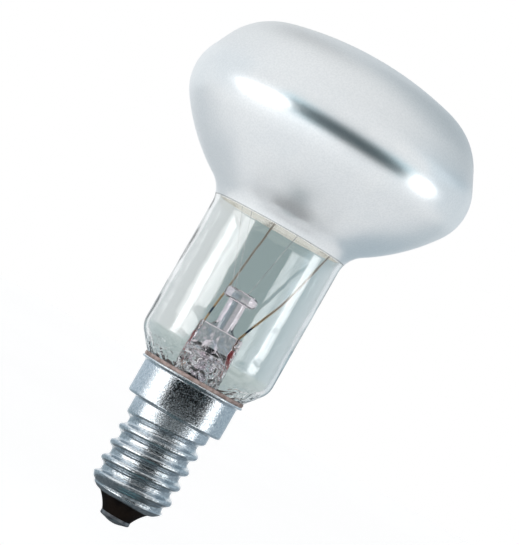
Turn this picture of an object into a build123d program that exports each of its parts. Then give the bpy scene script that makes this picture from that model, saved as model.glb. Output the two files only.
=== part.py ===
"""Reflector lamp: a blown bulb with an inside mirror, on a small skirted screw cap.

Millimetres. The lamp's axis is Z, from the cap to the front. The origin is on the axis, level
with the flat underside of the cap's skirt. The wide side of the stem's pinch lies along X.
"""

from build123d import *
from math import acos, atan2, cos, degrees, hypot, radians, sin, sqrt, tan
import os

# Bulb: a chain of tangent arcs and straight runs
wall = 0.7
neck_d = 23.4
head_d = 50.0
front_z = 65.85
equator_z = 51.1
throat_z = 33.0
throat_r = 4.9
bowl_r = 33.3
equator_r = 8.5
corner_r = 11.3
corner_inset = 12.45
dome_r = 56.7
shoulder_r = 3.7
base_cone = 38.0
lip_gap = 0.4
seal_d = 14.6
seal_z = 1.6
seal_fillet = 1.5

# Mirror inside the rear of the head
mirror_low_z = 34.4
mirror_high_z = 52.6
mirror_t = 0.1

# Cap shell: drawn sheet with a rolled thread
sheet = 0.25
thread_d = 13.75
root_d = 11.9
pitch = 2.822
groove_turns = 5
groove_right_z = -2.8
groove_top_angle = 40.0
crest_flat = 0.22
crest_side = 0.28
crest_slope = 18.0
root_flat = 0.95
thread_fillet = 0.55
nose_r = 3.0
nose_start_z = -13.4
shell_bottom_z = -16.05
shell_hole_d = 8.8
barrel_fillet = 0.3
skirt_d = 16.85
skirt_edge_r = 0.45
skirt_flare = 0.45
lip_under_z = 5.95
lip_reach = 0.05
lip_t = 0.45

# Insulator, contact and solder under the shell
insulator_seat_d = 10.4
insulator_top_z = -14.3
insulator_end_z = -18.6
insulator_end_d = 5.14
insulator_sag = 0.16
wire_hole_d = 1.2
contact_d = 5.24
contact_tip_z = -19.7
contact_dome_r = 7.8
contact_edge_r = 0.3
solder_d = 3.2
tip_z = -19.84
shell_solder_d = 1.5

# Cement between the glass and the skirt
cement_low_z = 2.4
cement_top_z = 7.0
cement_bulge = 0.1

# Stem: flared tube, pinch, exhaust tube, rod and button
tube_d = 8.2
tube_wall = 0.45
flare_z = 6.0
flare_rim_h = 0.7
flare_rim_t = 0.6
tube_bore_z = 9.6
pinch_low_z = 10.2
pinch_full_z = 12.4
pinch_top_z = 15.8
pinch_w = 7.8
pinch_t = 3.2
pinch_round = 0.9
pinch_top_round = 0.4
pinch_floor_z = 10.9
pinch_floor_d = 4.0
exhaust_d = 3.0
exhaust_bore = 1.8
exhaust_low_z = -6.0
exhaust_tip_t = 0.8
exhaust_hole_d = 2.6
exhaust_hole_x = -0.4
exhaust_hole_z = 12.4
rod_d = 3.1
rod_root_h = 1.4
rod_root_w = 4.8
button_d = 5.75
button_low_z = 20.8
button_top_z = 22.8
button_round = 0.85

# Wires and filament
inner_lead_d = 0.36
dumet_d = 0.5
outer_lead_d = 0.25
support_d = 0.1
lead_left_x = -3.3
lead_right_x = 3.0
dumet_low_z = 8.5
dumet_top_z = 13.7
right_bend_x = 6.6
right_bend_z = 24.4
right_bend_r = 30.0
lead_bend_r = 1.0
shell_lead_angle = 120.0
shell_lead_gap = 0.03
centre_lead_z = -7.5
filament_z = 43.0
filament_ring_r = 11.1
filament_d = 0.7
filament_gap = 92.0
support_foot_r = 1.9
support_sunk = 0.6
tip_gap = 0.05

# Derived sizes of the cap
thread_r = thread_d / 2
root_r = root_d / 2
bore_r = thread_r - sheet
hole_r = shell_hole_d / 2
skirt_r = skirt_d / 2
skirt_top_z = lip_under_z - skirt_flare
lip_top_z = lip_under_z + lip_t
lip_bore_r = skirt_r + skirt_flare
lip_face_r = lip_bore_r + lip_reach
past = 1.0

# Derived sizes of the bulb
neck_r = neck_d / 2
seal_r = seal_d / 2
throat_c = (neck_r + throat_r, throat_z)
equator_c = (head_d / 2 - equator_r, equator_z)
dome_c = (0, front_z - dome_r)
corner_ring_r = head_d / 2 - corner_inset
corner_c = (corner_ring_r, dome_c[1] + sqrt((dome_r - corner_r) ** 2 - corner_ring_r**2))


def angle_of(start, end):
    """Direction from one point to another, in degrees."""
    return degrees(atan2(end[1] - start[1], end[0] - start[0]))


def polar(centre, radius, angle):
    """The point at an angle on a circle."""
    return (centre[0] + radius * cos(radians(angle)), centre[1] + radius * sin(radians(angle)))


def circles_meet(c1, r1, c2, r2):
    """The point nearer the axis where two circles meet."""
    d = hypot(c2[0] - c1[0], c2[1] - c1[1])
    along = (r1**2 - r2**2 + d**2) / (2 * d)
    across = sqrt(r1**2 - along**2)
    ux = (c2[0] - c1[0]) / d
    uy = (c2[1] - c1[1]) / d
    foot = (c1[0] + along * ux, c1[1] + along * uy)
    return min(
        (foot[0] - across * uy, foot[1] + across * ux),
        (foot[0] + across * uy, foot[1] - across * ux),
    )


# The bowl's arc is tangent to the equator's arc and to the throat's arc
bowl_c = circles_meet(equator_c, bowl_r - equator_r, throat_c, bowl_r + throat_r)
throat_end = angle_of(throat_c, bowl_c)
bowl_end = angle_of(bowl_c, equator_c)
corner_gap = hypot(corner_c[0] - equator_c[0], corner_c[1] - equator_c[1])
flank_normal = angle_of(equator_c, corner_c) - degrees(acos((equator_r - corner_r) / corner_gap))
dome_start = angle_of(dome_c, corner_c)

# The cone under the neck clears the cap's lip, and runs from the shoulder's arc to the seal's arc
cone_slope = tan(radians(base_cone))
cone_lip_r = lip_bore_r - lip_gap
cone_start_r = neck_r - shoulder_r * (1 - cos(radians(base_cone)))
cone_start = (cone_start_r, lip_top_z + (cone_start_r - cone_lip_r) / cone_slope)
shoulder_c = (neck_r - shoulder_r, cone_start[1] + shoulder_r * sin(radians(base_cone)))
cone_end_r = seal_r + seal_fillet * (1 - cos(radians(base_cone)))
cone_end_z = cone_start[1] - (cone_start[0] - cone_end_r) / cone_slope
seal_c = (seal_r + seal_fillet, cone_end_z - seal_fillet * sin(radians(base_cone)))


def cone_radius(z):
    """Outer radius of the cone under the neck at a height."""
    return cone_start[0] - (cone_start[1] - z) * cone_slope


def bulb_section(inset):
    """Half section of the bulb's outline, moved inwards by inset, closed on the axis."""
    with BuildLine() as section:
        dome = CenterArc(dome_c, dome_r - inset, 90, dome_start - 90)
        corner = CenterArc(corner_c, corner_r - inset, dome_start, flank_normal - dome_start)
        equator = CenterArc(equator_c, equator_r - inset, flank_normal, bowl_end - flank_normal)
        Line(corner @ 1, equator @ 0)
        CenterArc(bowl_c, bowl_r - inset, bowl_end, throat_end - 180 - bowl_end)
        throat = CenterArc(throat_c, throat_r + inset, throat_end, 180 - throat_end)
        shoulder = CenterArc(shoulder_c, shoulder_r - inset, 0, -base_cone)
        Line(throat @ 1, shoulder @ 0)
        seal = CenterArc(seal_c, seal_fillet + inset, 180 - base_cone, base_cone)
        Line(shoulder @ 1, seal @ 0)
        Polyline(seal @ 1, (seal_r - inset, seal_z), (0, seal_z), dome @ 0)
    return section.line


with BuildPart() as glass_bulb:
    with BuildSketch(Plane.XZ):
        make_face(bulb_section(0).edges())
    revolve(axis=Axis.Z)
    with BuildSketch(Plane.XZ):
        make_face(bulb_section(wall).edges())
    revolve(axis=Axis.Z, mode=Mode.SUBTRACT)

with BuildPart() as mirror_coating:
    with BuildSketch(Plane.XZ):
        make_face(bulb_section(wall).edges())
    revolve(axis=Axis.Z)
    with BuildSketch(Plane.XZ):
        make_face(bulb_section(wall + mirror_t).edges())
    revolve(axis=Axis.Z, mode=Mode.SUBTRACT)
    with BuildSketch(Plane.XY.offset(mirror_low_z)):
        Circle(head_d)
    extrude(amount=mirror_high_z - mirror_low_z, mode=Mode.INTERSECT)

# The nose is one arc from the thread to the shell's lower hole
nose_c = circles_meet((thread_r, nose_start_z), nose_r, (hole_r, shell_bottom_z), nose_r)
nose_bore = nose_r - sheet


def nose_bore_angle(radius):
    """Direction from the nose's centre to the point of its inner face at a radius."""
    return -degrees(acos((radius - nose_c[0]) / nose_bore))


def shell_section():
    """Half section of the cap's outside before its thread is rolled, closed on the axis."""
    low = angle_of(nose_c, (hole_r, shell_bottom_z))
    high = angle_of(nose_c, (thread_r, nose_start_z))
    with BuildLine() as section:
        CenterArc(nose_c, nose_r, low, high - low)
        Line((thread_r, nose_start_z), (thread_r, -barrel_fillet))
        CenterArc((thread_r + barrel_fillet, -barrel_fillet), barrel_fillet, 180, -90)
        Line((thread_r + barrel_fillet, 0), (skirt_r - skirt_edge_r, 0))
        CenterArc((skirt_r - skirt_edge_r, skirt_edge_r), skirt_edge_r, -90, 90)
        Line((skirt_r, skirt_edge_r), (skirt_r, skirt_top_z))
        CenterArc((lip_bore_r, skirt_top_z), skirt_flare, 180, -90)
        Line((lip_bore_r, lip_under_z), (lip_face_r, lip_under_z))
        CenterArc((lip_face_r, lip_under_z + lip_t / 2), lip_t / 2, -90, 180)
        Polyline((lip_face_r, lip_top_z), (0, lip_top_z), (0, shell_bottom_z), (hole_r, shell_bottom_z))
    return section.line


def cavity_section():
    """Half section of the cap's inside, one sheet in from the outside and open at both ends."""
    low = nose_bore_angle(hole_r)
    high = nose_bore_angle(bore_r)
    with BuildLine() as section:
        nose = CenterArc(nose_c, nose_bore, low, high - low)
        Line(nose @ 1, (bore_r, -barrel_fillet))
        CenterArc((thread_r + barrel_fillet, -barrel_fillet), barrel_fillet + sheet, 180, -90)
        Line((thread_r + barrel_fillet, sheet), (skirt_r - skirt_edge_r, sheet))
        CenterArc((skirt_r - skirt_edge_r, skirt_edge_r), skirt_edge_r - sheet, -90, 90)
        Line((skirt_r - sheet, skirt_edge_r), (skirt_r - sheet, skirt_top_z))
        flare = CenterArc((lip_bore_r, skirt_top_z), skirt_flare + sheet, 180, -90)
        Polyline(
            flare @ 1,
            (lip_bore_r, lip_top_z + past),
            (0, lip_top_z + past),
            (0, shell_bottom_z - past),
            (hole_r, shell_bottom_z - past),
            nose @ 0,
        )
    return section.line


# The thread is a groove that is pressed into the shell along a right-hand helix
groove_low_z = groove_right_z - groove_turns * pitch
groove_rise = (groove_turns + groove_top_angle / 360) * pitch
with BuildLine() as groove_path:
    Helix(pitch, groove_rise, root_r, center=(0, 0, groove_low_z))
groove_foot = Plane(origin=groove_path.line @ 0, x_dir=(1, 0, 0), z_dir=groove_path.line % 0)
groove_out = polar((0, 0), 1, groove_top_angle)
groove_head = Plane(origin=groove_path.line @ 1, x_dir=groove_out, z_dir=groove_path.line % 1)

# Points of the groove's half section, as depth outwards from its root and width to one side
crest_run = crest_flat / 4
crest_edge = (pitch - crest_flat) / 2
crest_fall = tan(radians(crest_slope))
groove_points = [
    (0, root_flat / 2),
    (thread_r - root_r - crest_side * crest_fall, crest_edge - crest_side),
    (thread_r - root_r + crest_run * crest_fall, crest_edge + crest_run),
]
inner_groove_points = [
    (-sheet, root_flat / 2 + sheet / 2),
    (bore_r - root_r + crest_run, crest_edge + crest_run),
]


def groove_face(plane, points, half=False):
    """Section of the rolled groove, or its upper half, on a plane across the helix."""
    outline = [(x, -y) for x, y in reversed(points)] + points
    with BuildSketch(plane) as face:
        with BuildLine():
            Polyline(*outline, close=True)
        make_face()
        fillet(face.vertices().sort_by(Axis.X)[: len(outline) - 2], thread_fillet)
        if half:
            Rectangle(pitch, pitch, align=(Align.CENTER, Align.MAX), mode=Mode.SUBTRACT)
    return face.sketch


def roll_thread(points):
    """The groove's solid, with a round run-out at its upper end."""
    with BuildPart() as groove:
        sweep(groove_face(groove_foot, points), path=groove_path.line, is_frenet=True)
        revolve(
            groove_face(groove_head, points, half=True),
            axis=Axis(groove_head.origin, groove_head.x_dir),
            revolution_arc=180,
        )
    return groove.part


with BuildPart() as cap_cavity:
    with BuildSketch(Plane.XZ):
        make_face(cavity_section().edges())
    revolve(axis=Axis.Z)
    add(roll_thread(inner_groove_points), mode=Mode.SUBTRACT)

# Derived sizes of the insulator and the contact
wire_hole_r = wire_hole_d / 2
seat_r = insulator_seat_d / 2
contact_c = (0, contact_tip_z + contact_dome_r)
contact_rim_z = contact_c[1] - sqrt(contact_dome_r**2 - (contact_d / 2) ** 2)


def contact_angle(radius):
    """Direction from the centre of the contact's dome to its face at a radius."""
    return -degrees(acos(radius / contact_dome_r))


with BuildPart() as cap_insulator:
    with BuildSketch(Plane.XZ):
        with BuildLine():
            hole_angle = nose_bore_angle(hole_r)
            seat = CenterArc(nose_c, nose_bore, hole_angle, nose_bore_angle(seat_r) - hole_angle)
            flank_end = (insulator_end_d / 2, insulator_end_z)
            Polyline(seat @ 1, (seat_r, insulator_top_z), (wire_hole_r, insulator_top_z))
            Polyline((wire_hole_r, insulator_top_z), (wire_hole_r, insulator_end_z), flank_end)
            SagittaArc(flank_end, (hole_r, shell_bottom_z), insulator_sag)
            Line((hole_r, shell_bottom_z), seat @ 0)
        make_face()
    revolve(axis=Axis.Z)

with BuildPart() as centre_contact:
    with BuildSketch(Plane.XZ) as contact_section:
        with BuildLine():
            rim_angle = contact_angle(contact_d / 2)
            dome = CenterArc(contact_c, contact_dome_r, rim_angle, contact_angle(wire_hole_r) - rim_angle)
            Polyline(
                dome @ 1, (wire_hole_r, insulator_end_z), (contact_d / 2, insulator_end_z), dome @ 0
            )
        make_face()
        fillet(contact_section.vertices().sort_by(Axis.X)[-2:].sort_by(Axis.Y)[0], contact_edge_r)
    revolve(axis=Axis.Z)

with BuildPart() as centre_solder:
    with BuildSketch(Plane.XZ):
        with BuildLine():
            hole_angle = contact_angle(wire_hole_r)
            foot = CenterArc(
                contact_c, contact_dome_r, hole_angle, contact_angle(solder_d / 2) - hole_angle
            )
            Polyline((0, tip_z), (0, insulator_end_z), (wire_hole_r, insulator_end_z), foot @ 0)
            TangentArc((0, tip_z), foot @ 1, tangent=(1, 0))
        make_face()
    revolve(axis=Axis.Z)


def wire(points, diameter, radii=None):
    """A round wire along a route whose corners are rounded."""
    with BuildPart() as piece:
        with BuildLine() as route:
            if radii:
                FilletPolyline(*points, radius=radii)
            else:
                Line(*points)
        with BuildSketch(Plane(origin=route.line @ 0, z_dir=route.line % 0)):
            Circle(diameter / 2)
        sweep(path=route.line)
    return piece


# Ends of the filament's ring, and the feet of its supports
filament_low_z = filament_z - filament_d / 2 - tip_gap


def ring_point(angle, z):
    """The point under the filament's ring at an angle about the axis."""
    return (*polar((0, 0), filament_ring_r, angle), z)


with BuildPart() as filament:
    with BuildLine(Plane.XY.offset(filament_z)) as ring:
        CenterArc((0, 0), filament_ring_r, filament_gap, 360 - filament_gap)
    with BuildSketch(Plane(origin=ring.line @ 0, z_dir=ring.line % 0)):
        Circle(filament_d / 2)
    sweep(path=ring.line)

dumet_seal_left = wire([(lead_left_x, 0, dumet_low_z), (lead_left_x, 0, dumet_top_z)], dumet_d)
dumet_seal_right = wire([(lead_right_x, 0, dumet_low_z), (lead_right_x, 0, dumet_top_z)], dumet_d)
inner_lead_left = wire(
    [
        (lead_left_x, 0, dumet_top_z),
        (lead_left_x, 0, pinch_top_z),
        ring_point(filament_gap, filament_low_z),
    ],
    inner_lead_d,
    [lead_bend_r],
)
inner_lead_right = wire(
    [
        (lead_right_x, 0, dumet_top_z),
        (lead_right_x, 0, pinch_top_z),
        (right_bend_x, 0, right_bend_z),
        ring_point(0, filament_low_z),
    ],
    inner_lead_d,
    [lead_bend_r, right_bend_r],
)
outer_lead_centre = wire(
    [
        (lead_right_x, 0, dumet_low_z),
        (lead_right_x, 0, centre_lead_z),
        (0, 0, insulator_top_z + past),
        (0, 0, insulator_end_z),
    ],
    outer_lead_d,
    [lead_bend_r, lead_bend_r],
)

# The other outer lead passes under the seal and out between the glass and the lip
lead_under_z = (seal_z + sheet) / 2
lead_gap_r = (seal_r + skirt_r - sheet) / 2
lead_off_cone = (outer_lead_d / 2 + shell_lead_gap) / cos(radians(base_cone))
lead_bend_z = cone_end_z - (cone_end_r + lead_off_cone - lead_gap_r) / cone_slope
lead_tip_r = cone_radius(cement_top_z) + lead_off_cone


def lead_point(radius, z):
    """A point in the half plane where the shell's lead comes out."""
    return (*polar((0, 0), radius, shell_lead_angle), z)


outer_lead_shell = wire(
    [
        (lead_left_x, 0, dumet_low_z),
        (lead_left_x, 0, lead_under_z),
        lead_point(lead_gap_r, lead_under_z),
        lead_point(lead_gap_r, lead_bend_z),
        lead_point(lead_tip_r, cement_top_z),
    ],
    outer_lead_d,
    [lead_under_z / 2, lead_under_z / 2, lead_bend_r],
)

with BuildPart() as cap_blank:
    with BuildSketch(Plane.XZ):
        make_face(shell_section().edges())
    revolve(axis=Axis.Z)

with BuildPart() as cap_shell:
    add(cap_blank.part)
    add(roll_thread(groove_points), mode=Mode.SUBTRACT)
    add(cap_cavity.part, mode=Mode.SUBTRACT)
    add(outer_lead_shell.part, mode=Mode.SUBTRACT)

support_angles = {
    "support_wire_front": 360 - (360 - filament_gap) / 4,
    "support_wire_left": 360 - (360 - filament_gap) / 2,
    "support_wire_back": 360 - (360 - filament_gap) * 3 / 4,
}
supports = {}
for name, angle in support_angles.items():
    foot_point = (*polar((0, 0), support_foot_r, angle), button_top_z - support_sunk)
    supports[name] = wire([foot_point, ring_point(angle, filament_low_z)], support_d)

# Derived sizes of the stem
rim_r = seal_r - wall
tube_r = tube_d / 2
tube_bore_r = tube_r - tube_wall

with BuildPart() as stem_flare:
    with BuildSketch(Plane.XZ):
        with BuildLine():
            rim_top = (rim_r, seal_z + flare_rim_h)
            Polyline((0, pinch_low_z), (0, seal_z), (rim_r, seal_z), rim_top)
            TangentArc((tube_r, flare_z), rim_top, tangent=(0, -1))
            Polyline((tube_r, flare_z), (tube_r, pinch_low_z), (0, pinch_low_z))
        make_face()
    revolve(axis=Axis.Z)
    with BuildSketch(Plane.XY.offset(pinch_low_z)):
        Circle(tube_r)
    with BuildSketch(Plane.XY.offset(pinch_full_z)):
        RectangleRounded(pinch_w, pinch_t, pinch_round)
    loft()
    with BuildSketch(Plane.XY.offset(pinch_full_z)):
        RectangleRounded(pinch_w, pinch_t, pinch_round)
    extrude(amount=pinch_top_z - pinch_full_z)
    fillet(stem_flare.faces().sort_by(Axis.Z)[-1].edges(), pinch_top_round)
    with BuildSketch(Plane.XZ):
        with BuildLine():
            mouth = (rim_r - flare_rim_t, seal_z)
            TangentArc((tube_bore_r, flare_z), mouth, tangent=(0, -1))
            Polyline(
                (tube_bore_r, flare_z),
                (tube_bore_r, tube_bore_z),
                (pinch_floor_d / 2, pinch_floor_z),
                (0, pinch_floor_z),
                (0, seal_z),
                mouth,
            )
        make_face()
    revolve(axis=Axis.Z, mode=Mode.SUBTRACT)
    with BuildSketch(Plane.XY.offset(pinch_floor_z)):
        Circle(exhaust_bore / 2)
    extrude(amount=exhaust_hole_z - pinch_floor_z, mode=Mode.SUBTRACT)
    with Locations((exhaust_hole_x, -pinch_t / 2, exhaust_hole_z)):
        Sphere(exhaust_hole_d / 2, mode=Mode.SUBTRACT)
    for sealed in (dumet_seal_left, dumet_seal_right, inner_lead_left, inner_lead_right):
        add(sealed.part, mode=Mode.SUBTRACT)

with BuildPart() as exhaust_tube:
    with BuildSketch(Plane.XZ):
        with BuildLine():
            tip_end = (0, exhaust_low_z)
            Line((exhaust_d / 2, exhaust_low_z + exhaust_d / 2), (exhaust_d / 2, pinch_floor_z))
            Line((exhaust_d / 2, pinch_floor_z), (exhaust_bore / 2, pinch_floor_z))
            bore_end = (exhaust_bore / 2, exhaust_low_z + exhaust_tip_t + exhaust_bore / 2)
            Line((exhaust_bore / 2, pinch_floor_z), bore_end)
            RadiusArc(bore_end, (0, exhaust_low_z + exhaust_tip_t), exhaust_bore / 2)
            Line((0, exhaust_low_z + exhaust_tip_t), tip_end)
            RadiusArc(tip_end, (exhaust_d / 2, exhaust_low_z + exhaust_d / 2), -exhaust_d / 2)
        make_face()
    revolve(axis=Axis.Z)

with BuildPart() as support_rod:
    with BuildSketch(Plane.XZ):
        with BuildLine():
            root_top = (rod_d / 2, pinch_top_z + rod_root_h)
            TangentArc(root_top, (rod_root_w / 2, pinch_top_z), tangent=(0, -1))
            Polyline((rod_root_w / 2, pinch_top_z), (0, pinch_top_z), (0, root_top[1]), root_top)
        make_face()
    revolve(axis=Axis.Z)
    with BuildSketch(Plane.XY.offset(pinch_top_z)):
        Rectangle(pinch_w, pinch_t - 2 * pinch_top_round)
    extrude(amount=rod_root_h, mode=Mode.INTERSECT)
    with BuildSketch(Plane.XY.offset(pinch_top_z)):
        Circle(rod_d / 2)
    extrude(amount=button_low_z - pinch_top_z + button_round)
    with BuildSketch(Plane.XZ) as button_section:
        with Locations((0, button_low_z)):
            Rectangle(button_d / 2, button_top_z - button_low_z, align=(Align.MIN, Align.MIN))
        fillet(button_section.vertices().sort_by(Axis.X)[-2:], button_round)
    revolve(axis=Axis.Z)
    for support in supports.values():
        add(support.part, mode=Mode.SUBTRACT)

with BuildPart() as cement_ring:
    with BuildSketch(Plane.XZ):
        with BuildLine():
            Polyline((seal_r, cement_low_z), (skirt_r - sheet, cement_low_z), (skirt_r - sheet, skirt_top_z))
            flare = CenterArc((lip_bore_r, skirt_top_z), skirt_flare + sheet, 180, -90)
            Polyline(flare @ 1, (lip_bore_r, lip_top_z), (lip_face_r, lip_top_z))
            top = (cone_radius(cement_top_z), cement_top_z)
            SagittaArc((lip_face_r, lip_top_z), top, -cement_bulge)
            seal_arc = CenterArc(seal_c, seal_fillet, 180 - base_cone, base_cone)
            Line(top, seal_arc @ 0)
            Line(seal_arc @ 1, (seal_r, cement_low_z))
        make_face()
    revolve(axis=Axis.Z)

with BuildPart() as cap_cement:
    add(cement_ring.part)
    add(outer_lead_shell.part, mode=Mode.SUBTRACT)

with BuildPart() as shell_solder:
    with Locations(lead_point(lip_face_r, lip_top_z)):
        Sphere(shell_solder_d / 2)
    for neighbour in (cap_blank, cement_ring, glass_bulb, outer_lead_shell):
        add(neighbour.part, mode=Mode.SUBTRACT)

pieces = {
    "glass_bulb": glass_bulb,
    "mirror_coating": mirror_coating,
    "cap_shell": cap_shell,
    "cap_insulator": cap_insulator,
    "centre_contact": centre_contact,
    "centre_solder": centre_solder,
    "shell_solder": shell_solder,
    "cap_cement": cap_cement,
    "stem_flare": stem_flare,
    "exhaust_tube": exhaust_tube,
    "support_rod": support_rod,
    "inner_lead_left": inner_lead_left,
    "inner_lead_right": inner_lead_right,
    "dumet_seal_left": dumet_seal_left,
    "dumet_seal_right": dumet_seal_right,
    "outer_lead_shell": outer_lead_shell,
    "outer_lead_centre": outer_lead_centre,
    "filament": filament,
    **supports,
}

os.makedirs("parts", exist_ok=True)
for name, piece in pieces.items():
    piece.part.label = name
    export_step(piece.part, f"parts/{name}.step")
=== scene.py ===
"""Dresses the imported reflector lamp: blown glass, silvered head, screw cap, stem, wires and a studio."""

from math import acos, asin, atan2, cos, hypot, pi, radians, sin, sqrt, tan

import bmesh
import bpy
from bpy.props import FloatProperty, FloatVectorProperty, IntProperty, PointerProperty
from mathutils import Matrix, Vector


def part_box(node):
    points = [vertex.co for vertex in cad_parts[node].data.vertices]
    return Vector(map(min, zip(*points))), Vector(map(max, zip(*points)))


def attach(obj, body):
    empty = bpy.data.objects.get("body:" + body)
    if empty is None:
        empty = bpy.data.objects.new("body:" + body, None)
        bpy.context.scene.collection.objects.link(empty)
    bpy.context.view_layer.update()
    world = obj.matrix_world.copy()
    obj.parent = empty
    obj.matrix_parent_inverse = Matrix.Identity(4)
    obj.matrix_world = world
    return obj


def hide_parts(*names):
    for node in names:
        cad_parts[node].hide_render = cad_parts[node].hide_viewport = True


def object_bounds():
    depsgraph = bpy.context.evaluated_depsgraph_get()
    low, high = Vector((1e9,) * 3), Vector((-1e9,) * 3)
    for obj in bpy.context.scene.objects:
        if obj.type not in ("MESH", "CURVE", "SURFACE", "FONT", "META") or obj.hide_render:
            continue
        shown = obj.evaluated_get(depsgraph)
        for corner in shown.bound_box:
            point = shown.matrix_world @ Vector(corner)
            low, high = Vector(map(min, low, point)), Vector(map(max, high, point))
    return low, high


bl_info = {
    "name": "Reflector lamp",
    "version": (1, 0, 0),
    "blender": (4, 5, 0),
    "location": "3D View > Sidebar > Lamp",
    "description": "Dresses a reflector lamp with its glass, silvering, metal, wires and studio",
    "category": "Object",
}

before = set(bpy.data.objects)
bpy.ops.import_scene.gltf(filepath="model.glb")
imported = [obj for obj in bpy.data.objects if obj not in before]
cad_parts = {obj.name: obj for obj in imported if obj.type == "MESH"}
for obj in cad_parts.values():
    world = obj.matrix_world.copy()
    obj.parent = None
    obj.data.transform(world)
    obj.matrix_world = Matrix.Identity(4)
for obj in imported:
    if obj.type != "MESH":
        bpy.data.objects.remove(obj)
CAD_BOX = [list(corner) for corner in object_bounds()]
TIP_Z = CAD_BOX[0][2]
BODY = "root"

# Ramps of a mask, and kinds of sockets
UP = (0.0, 1.0)
DOWN = (1.0, 0.0)
NUMBER = "NodeSocketFloat"
COLOUR = "NodeSocketColor"

# Steps of the bends and counts of the straight runs in the envelope's outline
FINE_STEP = radians(2.5)
DOME_STEP = radians(0.7)
BOWL_STEP = radians(1.0)
SEAL_STEP = radians(5)
FLANK_RUNS = 2
NECK_RUNS = 24
CONE_RUNS = 4
SEAL_RUNS = 2

# Distance in metres at which points are merged, and the slot of the head's finish
MERGE = 1e-7
HEAD_SLOT = 2

# Spans of the head's finishes, in metres from where the silvering starts
SILVER_LINE = (0.0, 0.00025)
THROAT_RISE = (0.0045, 0.0095)

# Spans of the head's finishes, in metres from where the silvering ends
FROST_RISE = (0.0, 0.0060)
BELT_RISE = (-0.0075, -0.0030)
BELT_FALL = (0.0, 0.0035)

# Span of the flame-worked cone in metres above the cap's lip, and of its sides across
FLAME_FALL = (0.0012, 0.0038)
FLAME_SIDES = (0.004, 0.0065)

# Heights in metres where the other finishes change
THREAD_TOP = (-0.0042, -0.0036)
PINCH_FOOT = (0.0095, 0.0115)
BLUE_RISE = (0.0168, 0.0175)
BLUE_FALL = (0.0181, 0.0188)
STRAW_FALL = (0.0195, 0.026)

# Depths of bumps, in metres
METAL_PITS = 0.00004
MATT_PITS = 0.0002
GLASS_WAVES = 0.0004
NECK_CRINKLES = 0.0003
STEM_CRINKLES = 0.0010

# Scales of the fine grain, and the spans of noise that the grain and the drift use
METAL_GRAIN = 5000.0
MATT_GRAIN = 2400.0
GRAIN_SPAN = (0.3, 0.7)
DRIFT_SPAN = (0.35, 0.65)

# Roughness of the head and of the nickel
THROAT_ROUGH = 0.28
FROST_ROUGH = 0.45
BELT_ROUGH = 0.278
NICKEL_CLEAN = 0.06
NICKEL_PITTED = 0.32
NICKEL_BURNISHED = 0.22

# How metallic the head is, and how much of its specks and its dark line shows
SATIN_METAL = 0.75
FROST_METAL = 0.5
SPECK_SHARE = 0.14
LINE_SHARE = 0.65

# Glass: how it refracts, how the black glass shines, and the crinkles left in the cone and the pinch
BULB_IOR = 1.5
STEM_IOR = 1.55
BLACK_GLOSS = 0.06
CONE_SHARE = 0.1
PINCH_SHARE = 0.45

# Strengths: of the glow painted on the head's inner side, then of the light that the surroundings give
FROST_GLOW = 0.36
AIR_LIGHT = 0.48
FLOOR_IN_GLOSS = 0.42
FLOOR_WHITE = (0.43, 0.53)

# The floor: half its side and where its white grows, in metres, the shade of its drift and its roughness
FLOOR_HALF = 6
FLOOR_FADE = (0.2, 0.7)
FLOOR_SHADE = 0.98
FLOOR_ROUGH = 0.9

# Studio cards: degrees in a facet, steps of a dish, height of the far ring's middle and radii in metres
WHITE = (1.0, 1.0, 1.0)
CARD_FACET = 3
DISH_STEPS = 40
CARD_LEVEL = 0.045
LOW_R = 0.12
NEAR_R = 0.028

# Softboxes: their edges in degrees, and their share of the far ring's radius
SOFTBOX_RISE = (-3.4, 3.4)
SOFTBOX_PULL = 0.93
STRIP_PULL = 0.95

# Low cards: edges in metres, then name, sides in degrees from the camera's side, tint and strength
LOW_RISE = (-0.09, 0.02)
LOW_CARDS = (
    ("side_right_low", (122, 178), (0.74, 0.9, 1.0), 0.6),
    ("side_left_low", (-178, -112), (0.9, 0.96, 1.0), 0.74),
)

# Near cards: reach in metres, then name, sides in degrees, edges in metres, tint and strength
NEAR_REACH = 0.036
NEAR_CARDS = (
    ("skirt_front", (-39, 57), (-0.0021, 0.0086), (0.95, 0.97, 1.0), 0.002),
    ("barrel_front", (-35, 51), (-0.0041, -0.0021), (0.9, 0.97, 1.0), 0.9),
    ("thread_front", (-20, 40), (-0.0136, -0.0041), (0.7, 0.93, 1.0), 0.008),
    ("nose_front", (-76, 72), (-0.022, -0.0136), (0.85, 0.95, 1.0), 0.32),
    ("thread_strip_left", (-35, -20), (-0.0132, -0.0044), WHITE, 2.4),
    ("thread_strip_right", (40, 50), (-0.0132, -0.0044), WHITE, 2.2),
    ("skirt_left", (-146, -79), (-0.003, 0.0083), (0.78, 0.9, 1.0), 0.74),
    ("skirt_right", (74, 146), (-0.003, 0.0083), (0.74, 0.89, 1.0), 0.58),
    ("thread_left", (-146, -76), (-0.022, -0.003), (0.74, 0.9, 1.0), 0.46),
    ("thread_right", (72, 146), (-0.022, -0.003), (0.74, 0.89, 1.0), 0.42),
    ("rear_strip_left", (-164, -146), (-0.022, 0.0083), (0.95, 0.98, 1.0), 1.0),
    ("rear_strip_right", (146, 164), (-0.022, 0.0083), (0.95, 0.98, 1.0), 1.0),
    ("rear_gap", (164, 196), (-0.022, 0.0083), (0.85, 0.95, 1.0), 0.1),
)

# The hood over the thread: edges and the span of rays that see it, in metres
HOOD_RISE = (0.013, 0.034)
HOOD_START = 0.031
HOOD_REACH = 0.06

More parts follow.
